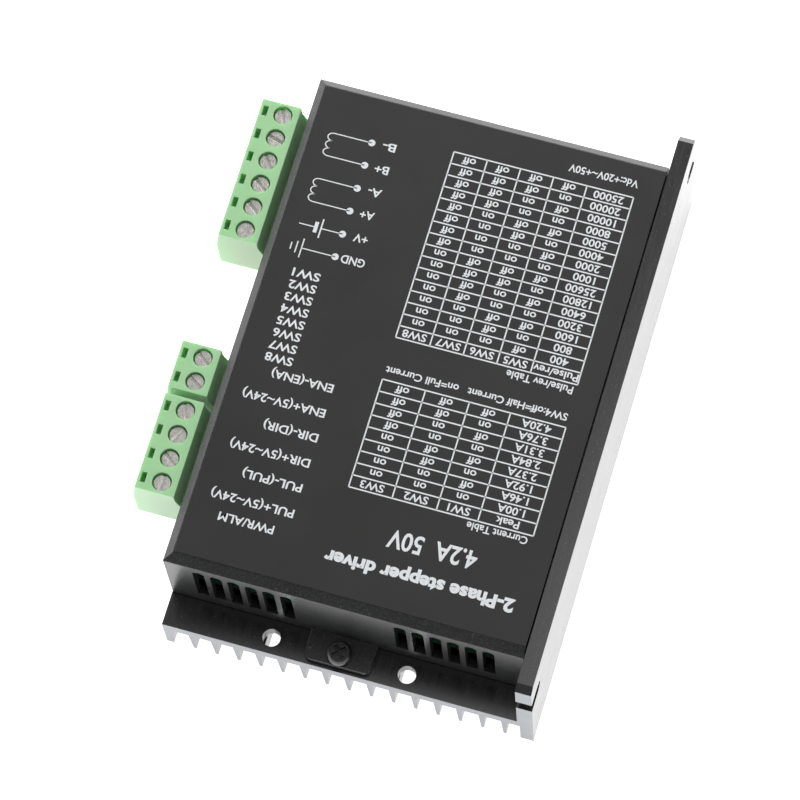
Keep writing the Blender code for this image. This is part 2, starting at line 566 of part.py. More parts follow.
def pole_cutters(y):
    """Everything cut out of the plug for one wire: screw well, chamber, wire entry, test and pin hole."""
    chamber = box((SCREW_X - CHAMBER_X / 2, y - CHAMBER_Y / 2, CHAMBER_Z[0]),
                  (SCREW_X + CHAMBER_X / 2, y + CHAMBER_Y / 2, CHAMBER_Z[1]))
    well = rod((SCREW_X, y, SCREW_BORE_BOTTOM), Z, PLUG_TOP + OVERCUT - SCREW_BORE_BOTTOM, SCREW_BORE_DIA,
               sides=20)
    neck = rod((SCREW_X, y, CHAMBER_Z[1] - BITE), Z, SCREW_BORE_BOTTOM + 2 * BITE - CHAMBER_Z[1],
               SCREW_NECK_DIA, sides=12)
    entry = box((PLUG_FACE_X - OVERCUT, y - WIRE_WIDTH / 2, WIRE_Z[0]),
                (SCREW_X, y + WIRE_WIDTH / 2, WIRE_Z[1]))
    test_hole = box((TEST_HOLE_X[0], y - TEST_HOLE_LENGTH / 2, PLUG_TOP - TEST_HOLE_DEPTH),
                    (TEST_HOLE_X[1], y + TEST_HOLE_LENGTH / 2, PLUG_TOP + OVERCUT))
    nose_end, pin_z = HEADER_FRONT_X - GAP + NOSE_LENGTH, ON_BOARD + HEADER_HEIGHT / 2
    pin_hole = box((nose_end - PIN_HOLE_DEPTH, y - PIN_HOLE / 2, pin_z - PIN_HOLE / 2),
                   (nose_end + OVERCUT, y + PIN_HOLE / 2, pin_z + PIN_HOLE / 2))
    return (chamber, test_hole), (well,), (neck,), (entry, pin_hole)


def build_plug(name, poles, middle):
    length = poles * POLE_PITCH - 2 * PLUG_END_PLAY
    plug = add_part(f"{name}_plug", outline_solid(plug_section(), length, along_y(middle)), "terminal_green")
    nose_half = poles * POLE_PITCH / 2 + HEADER_END - HEADER_WALL - GAP
    nose_x = (HEADER_FRONT_X - GAP - BITE, HEADER_FRONT_X - GAP + NOSE_LENGTH)
    nose_z = (ON_BOARD + HEADER_WALL + GAP, ON_BOARD + HEADER_HEIGHT - HEADER_WALL - GAP)
    join(plug, [box((nose_x[0], middle - nose_half, nose_z[0]), (nose_x[1], middle + nose_half, nose_z[1]))])
    layers = [pole_cutters(y) for y in pole_ys(poles, middle)]
    for layer in zip(*layers):
        cut(plug, [mesh for group in layer for mesh in group])


def build_terminal_screw(number, y):
    """Slotted cylinder-head screw, with its origin on its own axis."""
    head, shank = SCREW_HEAD_DIA / 2, SCREW_SHANK_DIA / 2
    profile = [(0, SCREW_HEAD_TOP), (head - SCREW_HEAD_EDGE, SCREW_HEAD_TOP),
               (head, SCREW_HEAD_TOP - SCREW_HEAD_EDGE),
               (head, SCREW_HEAD_BOTTOM), (shank, SCREW_HEAD_BOTTOM), (shank, SCREW_TIP), (0, SCREW_TIP)]
    screw = add_part(f"terminal_screw_{number:02d}", turned(profile, 20), "nickel")
    screw.location = (SCREW_X, y, 0)
    slot = box((-head - OVERCUT, -DRIVE_SLOT_WIDTH / 2, SCREW_HEAD_TOP - DRIVE_SLOT_DEPTH),
               (head + OVERCUT, DRIVE_SLOT_WIDTH / 2, SCREW_HEAD_TOP + OVERCUT))
    turn = Matrix.Rotation(math.radians(SCREW_TURNS[number - 1]), 4, "Z")
    slot.transform(Matrix.Translation((SCREW_X, y, 0)) @ turn)
    cut(screw, [slot])


def build_clamp_cage(number, y):
    """Square cage that lifts the wire against the bar when its screw is turned."""
    origin = (SCREW_X, y, (CAGE_Z[0] + CAGE_Z[1]) / 2)
    cage = add_part(f"clamp_cage_{number:02d}",
                    box((SCREW_X - CAGE_X / 2, y - CAGE_Y / 2, CAGE_Z[0]),
                        (SCREW_X + CAGE_X / 2, y + CAGE_Y / 2, CAGE_Z[1])), "nickel", origin)
    cut(cage, [box((SCREW_X - CAGE_X, y - CAGE_Y / 2 + CAGE_WALL, CAGE_Z[0] + CAGE_WALL),
                   (SCREW_X + CAGE_X, y + CAGE_Y / 2 - CAGE_WALL, CAGE_Z[1] - CAGE_WALL))])
    cut(cage, [rod((SCREW_X, y, CAGE_Z[1] - 2 * CAGE_WALL), Z, 4 * CAGE_WALL, SCREW_NECK_DIA, sides=12)])


def build_terminals():
    number = 0
    for name, poles, middle in PLUGS:
        build_header(name, poles, middle)
        build_plug(name, poles, middle)
        for y in pole_ys(poles, middle):
            number += 1
            build_terminal_screw(number, y)
            build_clamp_cage(number, y)


build_heatsink()
build_cover()
build_label()
build_cover_screw("cover_screw_near", -1)
build_cover_screw("cover_screw_far", 1)
build_board()
build_power_stage()
build_board_components()
build_lamps()
build_selector_switch()
build_terminals()
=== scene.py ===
# %% [markdown]
# # A stepper motor driver module
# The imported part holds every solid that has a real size: heatsink, cover, board, terminals and their
# screws. This script keeps those places, gives each surface its finish, and adds the fine pieces that
# are too small for the part, such as the label's print, the header pins and the chip's legs.

# %% Load the frame
import json
import math
import random

import bmesh
import bpy
from mathutils import Matrix, Vector

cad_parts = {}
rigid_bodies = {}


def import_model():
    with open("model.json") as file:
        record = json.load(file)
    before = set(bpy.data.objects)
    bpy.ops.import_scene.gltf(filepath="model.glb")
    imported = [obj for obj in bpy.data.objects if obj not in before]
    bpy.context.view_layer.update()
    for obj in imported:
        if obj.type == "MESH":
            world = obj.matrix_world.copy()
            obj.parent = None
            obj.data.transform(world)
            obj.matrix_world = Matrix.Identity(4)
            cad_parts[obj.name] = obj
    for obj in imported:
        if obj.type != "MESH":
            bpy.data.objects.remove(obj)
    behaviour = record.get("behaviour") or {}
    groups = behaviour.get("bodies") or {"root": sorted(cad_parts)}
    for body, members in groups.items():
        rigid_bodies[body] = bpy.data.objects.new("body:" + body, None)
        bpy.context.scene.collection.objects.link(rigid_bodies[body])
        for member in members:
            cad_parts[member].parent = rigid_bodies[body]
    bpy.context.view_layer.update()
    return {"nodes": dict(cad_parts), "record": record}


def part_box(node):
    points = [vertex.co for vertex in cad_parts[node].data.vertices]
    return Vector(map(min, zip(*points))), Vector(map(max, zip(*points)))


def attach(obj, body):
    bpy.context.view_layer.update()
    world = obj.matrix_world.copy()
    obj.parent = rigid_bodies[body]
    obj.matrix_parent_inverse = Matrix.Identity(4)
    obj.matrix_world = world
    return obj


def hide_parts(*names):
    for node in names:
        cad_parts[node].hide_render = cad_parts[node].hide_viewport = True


for leftover in list(bpy.data.objects):
    bpy.data.objects.remove(leftover, do_unlink=True)
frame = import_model()
MM = 0.001

# %% [markdown]
# The camera is a long lens far away, which keeps the module's edges almost parallel. Its place comes
# from two angles and a distance around a point in the middle of the module, and it has a small roll,
# so each number has a meaning of its own.

# %% Camera
CAMERA_AZIMUTH, CAMERA_ELEVATION, CAMERA_ROLL = (math.radians(a) for a in (-23.750, 70.254, -7.658))
CAMERA_DISTANCE = 0.83399
CAMERA_TARGET = Vector((-4.775, -4.684, 20.0)) * MM
LENS_MM = 190.87


def add_camera():
    level = math.cos(CAMERA_ELEVATION)
    forward = Vector((math.sin(CAMERA_AZIMUTH) * level, math.cos(CAMERA_AZIMUTH) * level,
                      -math.sin(CAMERA_ELEVATION)))
    right = Vector((math.cos(CAMERA_AZIMUTH), -math.sin(CAMERA_AZIMUTH), 0))
    up = right.cross(forward)
    rolled_right = right * math.cos(CAMERA_ROLL) + up * math.sin(CAMERA_ROLL)
    rolled_up = up * math.cos(CAMERA_ROLL) - right * math.sin(CAMERA_ROLL)
    data = bpy.data.cameras.new("camera")
    data.lens = LENS_MM
    data.clip_start, data.clip_end = 0.01, 50
    camera = bpy.data.objects.new("camera", data)
    turn = Matrix((rolled_right, rolled_up, -forward)).transposed().to_4x4()
    camera.matrix_world = Matrix.Translation(CAMERA_TARGET - forward * CAMERA_DISTANCE) @ turn
    bpy.context.scene.collection.objects.link(camera)
    bpy.context.scene.camera = camera
    return camera


camera = add_camera()
print("camera at", [round(value, 4) for value in camera.matrix_world.translation])

# %% [markdown]
# A product picture of a black object on white needs a floor that stays white and soft light that the
# black surfaces can mirror. Black plastic shows little colour of its own, so what it looks like is what
# it reflects: a broad light over the far side brightens the far chamfers, and the near side stays dark.

# %% Floor and lights
FLOOR_SIZE = 6.0
FLOOR_COLOUR = (0.93, 0.93, 0.93, 1)
FLOOR_GLOW = 1.15           # lifts the floor to a clean white, as a lit sweep does
SOFTBOXES = (               # name, place, size, power in watts
    ("over_far_side", (-0.15, 1.15, 0.85), (1.6, 0.7), 17),
    ("over_left_side", (-1.3, -0.1, 0.75), (1.0, 1.2), 6),
    ("overhead", (0.45, 0.2, 1.7), (1.2, 1.2), 5),
)
SURROUND_COLOUR, SURROUND_STRENGTH = (1, 1, 1, 1), 0.22


def add_floor():
    bm = bmesh.new()
    bmesh.ops.create_grid(bm, x_segments=2, y_segments=2, size=FLOOR_SIZE / 2)
    mesh = bpy.data.meshes.new("floor")
    bm.to_mesh(mesh)
    bm.free()
    material = bpy.data.materials.new("floor_white")
    material.use_nodes = True
    shader = material.node_tree.nodes["Principled BSDF"]
    shader.inputs["Base Color"].default_value = FLOOR_COLOUR
    shader.inputs["Roughness"].default_value = 0.9
    shader.inputs["Specular IOR Level"].default_value = 0.1
    shader.inputs["Emission Color"].default_value = (1, 1, 1, 1)
    shader.inputs["Emission Strength"].default_value = FLOOR_GLOW
    mesh.materials.append(material)
    floor = bpy.data.objects.new("floor", mesh)
    floor.location.z = -0.05 * MM
    bpy.context.scene.collection.objects.link(floor)


def add_softbox(name, place, size, power):
    data = bpy.data.lights.new(name, "AREA")
    data.shape = "RECTANGLE"
    data.size, data.size_y = size
    data.energy = power
    lamp = bpy.data.objects.new(name, data)
    lamp.location = place
    lamp.rotation_euler = (CAMERA_TARGET - Vector(place)).to_track_quat("-Z", "Y").to_euler()
    bpy.context.scene.collection.objects.link(lamp)


def add_surround():
    world = bpy.data.worlds.new("surround")
    world.use_nodes = True
    background = world.node_tree.nodes["Background"]
    background.inputs["Color"].default_value = SURROUND_COLOUR
    background.inputs["Strength"].default_value = SURROUND_STRENGTH
    bpy.context.scene.world = world


add_floor()
for softbox in SOFTBOXES:
    add_softbox(*softbox)
add_surround()
bpy.context.scene.view_settings.view_transform = "Standard"
print("floor and", len(SOFTBOXES), "softboxes")

# %% [markdown]
# Shader maths is easier to read as Python. This class wraps one output of a node, and an expression on
# it adds the Math nodes. A `Finish` is one material: its shader's plain numbers are set directly, and
# its `node` method adds any other node from its type, its settings and its inputs.

# %% Writing materials as expressions
class Signal:
    """One number, colour or vector that changes over a surface."""

    def __init__(self, finish, socket):
        self.finish, self.socket = finish, socket

    def _maths(self, operation, a, b):
        return self.finish.node("Math", {"operation": operation}, {0: a, 1: b})

    def __add__(self, other):
        return self._maths("ADD", self, other)

    def __sub__(self, other):
        return self._maths("SUBTRACT", self, other)

    def __rsub__(self, other):
        return self._maths("SUBTRACT", other, self)

    def __mul__(self, other):
        return self._maths("MULTIPLY", self, other)

    def __gt__(self, other):
        return self._maths("GREATER_THAN", self, other)

    def __lt__(self, other):
        return self._maths("LESS_THAN", self, other)

    def __abs__(self):
        return self._maths("ABSOLUTE", self, 0)

    __radd__, __rmul__ = __add__, __mul__


class Finish:
    """One material. Words with underscores name the shader's sockets."""

    def __init__(self, name, colour, roughness, **sockets):
        self.material = bpy.data.materials.new(name)
        self.material.use_nodes = True
        self.material.diffuse_color = (*colour, 1)
        self.tree = self.material.node_tree
        self.shader = self.tree.nodes["Principled BSDF"]
        self.shader.inputs["Base Color"].default_value = (*colour, 1)
        self.shader.inputs["Roughness"].default_value = roughness
        for words, value in sockets.items():
            self.shader.inputs[words.replace("_", " ")].default_value = value
        self.place = self.node("TexCoord", out="Object")

    def node(self, kind, settings=None, inputs=None, out=0):
        made = self.tree.nodes.new("ShaderNode" + kind)
        for words, value in (settings or {}).items():
            if words == "stops":
                ramp = made.color_ramp
                while len(ramp.elements) < len(value):
                    ramp.elements.new(1.0)
                for element, (position, colour) in zip(ramp.elements, value):
                    element.position, element.color = position, colour
            else:
                setattr(made, words, value)
        for socket, value in (inputs or {}).items():
            if isinstance(value, Signal):
                self.tree.links.new(value.socket, made.inputs[socket])
            else:
                made.inputs[socket].default_value = value
        return Signal(self, made.outputs[out])

    def drive(self, words, signal):
        """Feeds a signal to one of the shader's sockets."""
        self.tree.links.new(signal.socket, self.shader.inputs[words])

    def noise(self, size, detail=3.0, stretch=(1, 1, 1), roughness=0.55):
        """Cloudy noise whose blobs are about `size` metres; a larger stretch makes them shorter."""
        place = self.node("VectorMath", {"operation": "MULTIPLY"}, {0: self.place, 1: stretch})
        return self.node("TexNoise", None, {"Vector": place, "Scale": 1 / size, "Detail": detail,
                                            "Roughness": roughness})

    def ramp(self, signal, low, high, start=0.0, end=1.0):
        """Maps a signal from low..high to start..end, and holds it there."""
        return self.node("MapRange", {"clamp": True}, {"Value": signal, "From Min": low, "From Max": high,
                                                       "To Min": start, "To Max": end})

    def blend(self, factor, first, second):
        """The first colour where the factor is 0, and the second where it is 1."""
        colours = [c if isinstance(c, Signal) else (*c, 1) for c in (first, second)]
        return self.node("Mix", {"data_type": "RGBA"}, {0: factor, 6: colours[0], 7: colours[1]}, out=2)

    def bump(self, height, strength, depth):
        """Raises the surface by a height signal, `depth` metres at most."""
        inputs = {"Strength": strength, "Distance": depth, "Height": height}
        self.drive("Normal", self.node("Bump", None, inputs))

    def axis(self, name, vector=None):
        """One axis of a vector, which is the place on the surface unless another is given."""
        return self.node("SeparateXYZ", None, {0: vector or self.place}, out=name)


print("material tools ready")

# %% [markdown]
# The heatsink is an aluminium extrusion, anodised black before it was sawn to length. So the long faces
# are black with fine lines along the extrusion and some dust, while the sawn ends are bare metal. One
# finish does both: it finds the bare places from where a point is, in metres, and from the way its face
# points. Two materials on one mesh would also do it, but then a later cut could land in the wrong one.

# %% Heatsink finish
BLACK_ANODISED = (0.012, 0.012, 0.013)
BARE_ALUMINIUM, SAW_MARKS = (0.29, 0.305, 0.325), (0.22, 0.23, 0.25)
PALE_DUST, WORN_BLACK = (0.42, 0.42, 0.40), (0.019, 0.019, 0.020)
SAWN_FROM_END = 0.08 * MM
SAWN_END_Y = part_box("heatsink")[1].y - SAWN_FROM_END


def make_anodised():
    finish = Finish("black_anodised", BLACK_ANODISED, 0.25, IOR=1.8)
    face = finish.node("NewGeometry", out="True Normal")
    facing_end = abs(finish.axis("Y", face)) > 0.95
    at_end = abs(finish.axis("Y")) > SAWN_END_Y
    bare = facing_end * at_end
    lines = finish.noise(0.25 * MM, 4.0, (1, 0.03, 1))
    grain = finish.noise(0.12 * MM, 2.0)
    dust = finish.ramp(finish.noise(0.45 * MM, 1.0), 0.70, 0.78)
    saw = finish.noise(0.18 * MM, 3.0, (0.06, 1, 1))
    black = finish.blend(finish.ramp(lines, 0.3, 0.7), BLACK_ANODISED, WORN_BLACK)
    black = finish.blend(dust * 0.22, black, PALE_DUST)
    silver = finish.blend(finish.ramp(saw, 0.35, 0.65), BARE_ALUMINIUM, SAW_MARKS)
    finish.drive("Base Color", finish.blend(bare, black, silver))
    finish.drive("Metallic", bare * 0.8)
    finish.drive("Roughness", finish.ramp(lines, 0.3, 0.7, 0.16, 0.26) * (1 - bare) + bare * 0.36)
    finish.bump(lines * (1 - bare) * 0.6 + grain * 0.5 + saw * bare, 0.35, 0.03 * MM)
    return finish.material


anodised = make_anodised()
print("sawn ends beyond y =", round(SAWN_END_Y / MM, 2), "mm")

# %% [markdown]
# The cover is moulded in black plastic with the fine grain that spark-eroded moulds leave. Its sparkle is
# painted into the colour as sparse pale specks, which are painted glints. It is shiny enough to mirror the
# white floor at low angles. The label is a matt film, a little lighter, with a fine sand-like grain, and its
# print is an opaque white ink.

# %% Cover, label and print finishes
def make_moulded(name, colour, roughness, grain_size, depth, lift=1.35, **sockets):
    """Moulded plastic: a fine even grain, faint clouds of tone and slightly uneven gloss."""
    finish = Finish(name, colour, roughness, **sockets)
    grain = finish.noise(grain_size, 2.0)
    clouds = finish.noise(14 * MM, 3.0)
    lighter = tuple(min(1.0, channel * lift) for channel in colour)
    mottle = finish.ramp(clouds, 0.25, 0.75) * 0.5 + grain * 0.3
    finish.drive("Base Color", finish.blend(mottle, colour, lighter))
    finish.drive("Roughness", finish.ramp(clouds, 0.3, 0.7, roughness * 0.88, roughness * 1.12))
    finish.bump(grain, 0.5, depth)
    return finish


COVER_BLACK = (0.015, 0.0155, 0.016)
# The second grey is the colour of painted glints: pale specks that stand in for light caught by the grain.
PIT_GREY, GLINT_GREY = (0.072, 0.075, 0.077), (0.30, 0.31, 0.31)


def make_sparkling_plastic():
    """The cover's plastic: a fine grey grain, and sparse pale specks that are painted glints in the colour.
    """
    finish = make_moulded("black_plastic", COVER_BLACK, 0.30, 0.16 * MM, 0.03 * MM, Specular_IOR_Level=0.6)
    fine = finish.ramp(finish.noise(0.28 * MM, 2.0), 0.50, 0.66)
    # Painted glints: sparse pale specks in the colour stand in for sparkle of light on the grain.
    painted_glints = finish.ramp(finish.noise(0.9 * MM, 2.0), 0.70, 0.76)
    tone = finish.blend(fine * 0.7, COVER_BLACK, PIT_GREY)
    finish.drive("Base Color", finish.blend(painted_glints * 0.35, tone, GLINT_GREY))
    return finish.material


black_plastic = make_sparkling_plastic()
label_film = make_moulded("label_film", (0.020, 0.020, 0.0195), 0.44, 0.10 * MM, 0.006 * MM, 1.2,
                          Specular_IOR_Level=0.4).material
white_ink = make_moulded("white_ink", (0.80, 0.83, 0.85), 0.55, 0.12 * MM, 0.004 * MM, 1.08).material
print("cover, label and ink ready")

# %% [markdown]
# The terminals are light green polyamide, a plastic that lets a little light in, so its edges glow. The
# screws and cages are nickel plated. Plate is bright metal whose tone drifts in soft clouds and whose
# gloss is broken by fine scratches.

# %% Terminal finishes
TERMINAL_GREEN = (0.41, 0.70, 0.39)


def make_plated(name, colour, roughness):
    """Nickel or zinc plate: soft clouds in the tone, fine scratches in the gloss."""
    finish = Finish(name, colour, roughness, Metallic=1.0)
    clouds = finish.noise(1.1 * MM, 3.0)
    scratches = finish.noise(0.10 * MM, 4.0, (1, 0.12, 1))
    darker = tuple(channel * 0.72 for channel in colour)
    finish.drive("Base Color", finish.blend(finish.ramp(clouds, 0.35, 0.7), colour, darker))
    finish.drive("Roughness", finish.ramp(scratches, 0.35, 0.65, roughness * 0.8, roughness * 1.35))
    finish.bump(scratches, 0.3, 0.01 * MM)
    return finish.material


terminal_green = make_moulded("terminal_green", TERMINAL_GREEN, 0.30, 0.2 * MM, 0.008 * MM, 1.12,
                              Subsurface_Weight=0.55, Subsurface_Scale=1.6 * MM,
                              Subsurface_Radius=(0.6, 1.0, 0.5)).material
nickel = make_plated("nickel_plate", (0.86, 0.83, 0.79), 0.28)
cage_nickel = make_plated("cage_plate", (0.68, 0.66, 0.62), 0.28)
zinc = make_plated("zinc_plate", (0.60, 0.61, 0.62), 0.36)
print("terminal finishes ready")

# %% [markdown]
# The parts inside and the small ones outside share the same few recipes with other colours. The board
# needs one of its own, because its routed edges show the pale core under the green mask. A table then
# says which finish a node gets, by how the node's name starts.

# %% Finishes of the small parts
black_steel = make_moulded("black_oxide", (0.012, 0.012, 0.013), 0.26, 0.12 * MM, 0.01 * MM,
                           Metallic=0.4).material


MASK_GREEN, TRACK_GREEN = (0.030, 0.42, 0.22), (0.016, 0.26, 0.13)
GLASS_FIBRE = (0.50, 0.56, 0.34)


def make_solder_mask():
    """Green mask on both faces, with the pale glass-fibre core showing on the routed edges."""
    finish = make_moulded("solder_mask", MASK_GREEN, 0.28, 0.3 * MM, 0.01 * MM, 1.5, Coat_Weight=0.4,
                          Coat_Roughness=0.1)
    upright = abs(finish.axis("Z", finish.node("NewGeometry", out="True Normal"))) < 0.5
    tracks = finish.ramp(finish.noise(1.6 * MM, 1.0), 0.49, 0.52)
    green = finish.blend(tracks * 0.5, MASK_GREEN, TRACK_GREEN)
    finish.drive("Base Color", finish.blend(upright, green, GLASS_FIBRE))
    return finish.material


solder_mask = make_solder_mask()
nylon = make_moulded("nylon", (0.80, 0.79, 0.73), 0.5, 0.2 * MM, 0.01 * MM, 1.1).material
switch_red = make_moulded("switch_red", (0.42, 0.022, 0.02), 0.42, 0.15 * MM, 0.01 * MM, 1.2).material
lever_white = make_moulded("lever_white", (0.84, 0.84, 0.80), 0.35, 0.2 * MM, 0.006 * MM, 1.08).material
lens_green = make_moulded("lens_green", (0.12, 0.62, 0.20), 0.12, 0.5 * MM, 0.002 * MM, 1.2,
                          Transmission_Weight=0.35, Coat_Weight=0.5, Coat_Roughness=0.05).material
lens_red = make_moulded("lens_red", (0.66, 0.05, 0.04), 0.12, 0.5 * MM, 0.002 * MM, 1.2,
                        Transmission_Weight=0.35, Coat_Weight=0.5, Coat_Roughness=0.05).material
sleeve = make_moulded("capacitor_sleeve", (0.022, 0.028, 0.06), 0.25, 0.3 * MM, 0.004 * MM, 1.3,
                      Coat_Weight=0.3, Coat_Roughness=0.15).material
epoxy = make_moulded("moulded_epoxy", (0.022, 0.022, 0.022), 0.55, 0.12 * MM, 0.015 * MM, 1.4).material
silicone = make_moulded("silicone_pad", (0.40, 0.41, 0.42), 0.75, 0.35 * MM, 0.02 * MM, 1.15).material
gold = make_plated("pin_plate", (0.80, 0.78, 0.72), 0.25)
NODE_FINISH = {"heatsink": anodised, "cover": black_plastic, "label_film": label_film,
               "cover_screw": black_steel, "main_board": solder_mask, "board_spacer": nylon,
               "selector_switch_body": switch_red, "selector_lever": lever_white,
               "power_lamp": lens_green, "alarm_lamp": lens_red, "bulk_capacitor": sleeve,
               "half_bridge": epoxy, "controller_chip": epoxy, "clamp_bar": zinc, "thermal_pad": silicone,
               "terminal_screw": nickel, "clamp_cage": cage_nickel,
               "motor_": terminal_green, "enable_": terminal_green, "signal_": terminal_green}


def finish_of(node):
    """The finish of a node, found by how its name starts."""
    return next(finish for start, finish in NODE_FINISH.items() if node.startswith(start))


for name, node in frame["nodes"].items():
    node.data.materials.clear()
    node.data.materials.append(finish_of(name))
print(len(set(NODE_FINISH.values())), "finishes on the frame's nodes")

# %% [markdown]
# The label's print. Each word is a text object turned into a thin solid, scaled to its own width and
# cap height, and laid on the film so that it reads towards -X. Ink is a layer with a thickness,
# so each letter stands 0.02 mm proud. Repeated words, such as the many "on" and "off", are made once.

# %% Ink helpers
LABEL_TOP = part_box("label_film")[1].z
INK_THICK = 0.03 * MM
INK_Z = LABEL_TOP - 0.01 * MM     # the foot of the ink is sunk a little into the film
LINE_WIDTH = 0.28 * MM
TEXT_STRETCH = 1.12          # the label's type is a little wider than the built-in one
TEXT_WEIGHT = 0.02
glyphs = {}


def glyph_mesh(words, weight):
    """Words as a flat mesh of height 1 for capitals, starting at the origin, with its width."""
    if (words, weight) in glyphs:
        return glyphs[words, weight]
    curve = bpy.data.curves.new("words", "FONT")
    curve.body = words
    curve.resolution_u = 3
    curve.offset = weight
    curve.extrude = 0.5
    holder = bpy.data.objects.new("words", curve)
    bpy.context.scene.collection.objects.link(holder)
    bpy.context.view_layer.update()
    mesh = bpy.data.meshes.new_from_object(holder.evaluated_get(bpy.context.evaluated_depsgraph_get()))
    bpy.data.objects.remove(holder, do_unlink=True)
    start = min(vert.co.x for vert in mesh.vertices)
    mesh.transform(Matrix.Translation((-start, 0, 0)))
    width = max(vert.co.x for vert in mesh.vertices)
    glyphs[words, weight] = mesh, width
    return glyphs[words, weight]


CAP_HEIGHT = max(vert.co.y for vert in glyph_mesh("H", 0.0)[0].vertices)


class Ink:
    """Collects one group of print as a single piece."""

    def __init__(self, name):
        self.name, self.bm = name, bmesh.new()

    def words(self, words, start, end, top, baseline, weight=0.0):
        """Words from x = start to x = end (towards -X), with capitals from top to baseline in y."""
        mesh, width = glyph_mesh(words, weight)
        tall = (baseline - top) / CAP_HEIGHT
        wide = tall if end is None else (start - end) / width
        place = Matrix.Translation((start, baseline, INK_Z + INK_THICK / 2))
        turn = Matrix.Rotation(math.pi, 4, "Z")
        copy = mesh.copy()
        copy.transform(place @ turn @ Matrix.Diagonal((wide, tall, INK_THICK, 1)))
        self.bm.from_mesh(copy)
        bpy.data.meshes.remove(copy)

    def centred(self, words, middle, top, baseline, weight=0.0):
        """Words at the label's usual width, centred on x = middle."""
        width = glyph_mesh(words, weight)[1] * (baseline - top) / CAP_HEIGHT * TEXT_STRETCH
        self.words(words, middle + width / 2, middle - width / 2, top, baseline, weight)

    def stroke(self, points, width=LINE_WIDTH):
        """A line of even width through points in x and y, mitred at its corners."""
        rims = []
        for i, point in enumerate(points):
            before = Vector(points[max(i - 1, 0)])
            after = Vector(points[min(i + 1, len(points) - 1)])
            here = Vector(point)
            along = [step.normalized() for step in (here - before, after - here) if step.length > 0]
            middle = sum(along, Vector((0, 0))).normalized()
            reach = width / 2 / max(0.4, middle.dot(along[0]))
            side = Vector((-middle.y, middle.x)) * reach
            rims.append([self.bm.verts.new((*(here + side * sign), INK_Z + lift))
                         for sign, lift in ((1, 0), (-1, 0), (-1, INK_THICK), (1, INK_THICK))])
        for near, far in zip(rims, rims[1:]):
            for j in range(4):
                self.bm.faces.new((near[j], near[(j + 1) % 4], far[(j + 1) % 4], far[j]))
        self.bm.faces.new(rims[0][::-1])
        self.bm.faces.new(rims[-1])

    def dot(self, x, y, radius):
        place = Matrix.Translation((x, y, INK_Z + INK_THICK / 2))
        bmesh.ops.create_cone(self.bm, cap_ends=True, segments=20, radius1=radius, radius2=radius,
                              depth=INK_THICK, matrix=place)

    def done(self):
        bmesh.ops.recalc_face_normals(self.bm, faces=self.bm.faces)
        return add_piece(self.name, self.bm, white_ink, "housing")


def add_piece(name, bm, material, body):
    """Turns a bmesh drawn in the frame into a piece that rides on a body."""
    mesh = bpy.data.meshes.new(name)
    bm.to_mesh(mesh)
    bm.free()
    mesh.materials.append(material)
    piece = bpy.data.objects.new(name, mesh)
    bpy.context.scene.collection.objects.link(piece)
    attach(piece, body)
    return piece


print("capitals are", round(CAP_HEIGHT, 3), "of the text size")

# %% [markdown]
# The title and the two tables. A selector's state in a table row follows a rule: lever k is off when
# bit k of the row's number is set, so the tables are worked out rather than typed.

# %% Title and tables
ROW = 2.53 * MM
TABLE_TEXT = 1.5 * MM
TITLE_WEIGHT = 0.045


def printed_table(ink, columns, top, heads, values, first_row, lever_order):
    """A ruled table: columns are x positions, heads name the columns, values fill the first one."""
    rows = len(values) + 1
    bottom = top + rows * ROW
    for x in columns:
        ink.stroke([(x, top), (x, bottom)])
    for i in range(rows + 1):
        ink.stroke([(columns[0], top + i * ROW), (columns[-1], top + i * ROW)])
    for i in range(rows):
        text_top = top + i * ROW + (ROW - TABLE_TEXT) / 2
        row = heads if i == 0 else [values[i - 1]] + [
            "off" if (first_row + i - 1) >> lever & 1 else "on" for lever in lever_order]
        for left, right, words in zip(columns, columns[1:], row):
            ink.centred(words, (left + right) / 2, text_top, text_top + TABLE_TEXT, TEXT_WEIGHT)


title = Ink("print_title")
title.words("2-Phase stepper driver", 29.9 * MM, -7.75 * MM, -44.6 * MM, -42.1 * MM, TITLE_WEIGHT)
title.words("4.2A  50V", 20.6 * MM, 3.0 * MM, -38.35 * MM, -34.85 * MM, TEXT_WEIGHT)
title.words("Vdc:+20V~+50V", 29.6 * MM, 15.5 * MM, 45.5 * MM, 47.0 * MM, TEXT_WEIGHT)
title.words("SW4:off=Half Current   on=Full Current", 29.35 * MM, -7.15 * MM, -4.75 * MM, -3.3 * MM,
            TEXT_WEIGHT)
title.done()

current_table = Ink("print_current_table")
current_table.words("Current Table", 28.8 * MM, 16.7 * MM, -30.85 * MM, -29.4 * MM, TEXT_WEIGHT)
CURRENTS = ["1.00A", "1.46A", "1.92A", "2.37A", "2.84A", "3.31A", "3.76A", "4.20A"]
printed_table(current_table, [x * MM for x in (29.6, 18.55, 10.3, 1.45, -7.25)], -28.85 * MM,
              ["Peak", "SW1", "SW2", "SW3"], CURRENTS, 0, (0, 1, 2))
current_table.done()

pulse_table = Ink("print_pulse_table")
pulse_table.words("Pulse/rev Table", 28.85 * MM, 15.5 * MM, 0.75 * MM, 2.25 * MM, TEXT_WEIGHT)
PULSES = [str(200 * 2 ** k) for k in range(1, 8)] + [str(1000 * k) for k in (1, 2, 4, 5, 8, 10, 20, 25)]
printed_table(pulse_table, [x * MM for x in (29.4, 19.95, 13.15, 6.4, -0.4, -7.25)], 2.9 * MM,
              ["Pulse/rev", "SW5", "SW6", "SW7", "SW8"], PULSES, 1, (0, 1, 2, 3))
pulse_table.done()
print("tables of", len(CURRENTS), "currents and", len(PULSES), "pulse counts")

# %% [markdown]
# Beside each terminal stands its function, with the usual circuit symbols for the supply and the two
# motor windings. A winding is a line with three half-round loops.

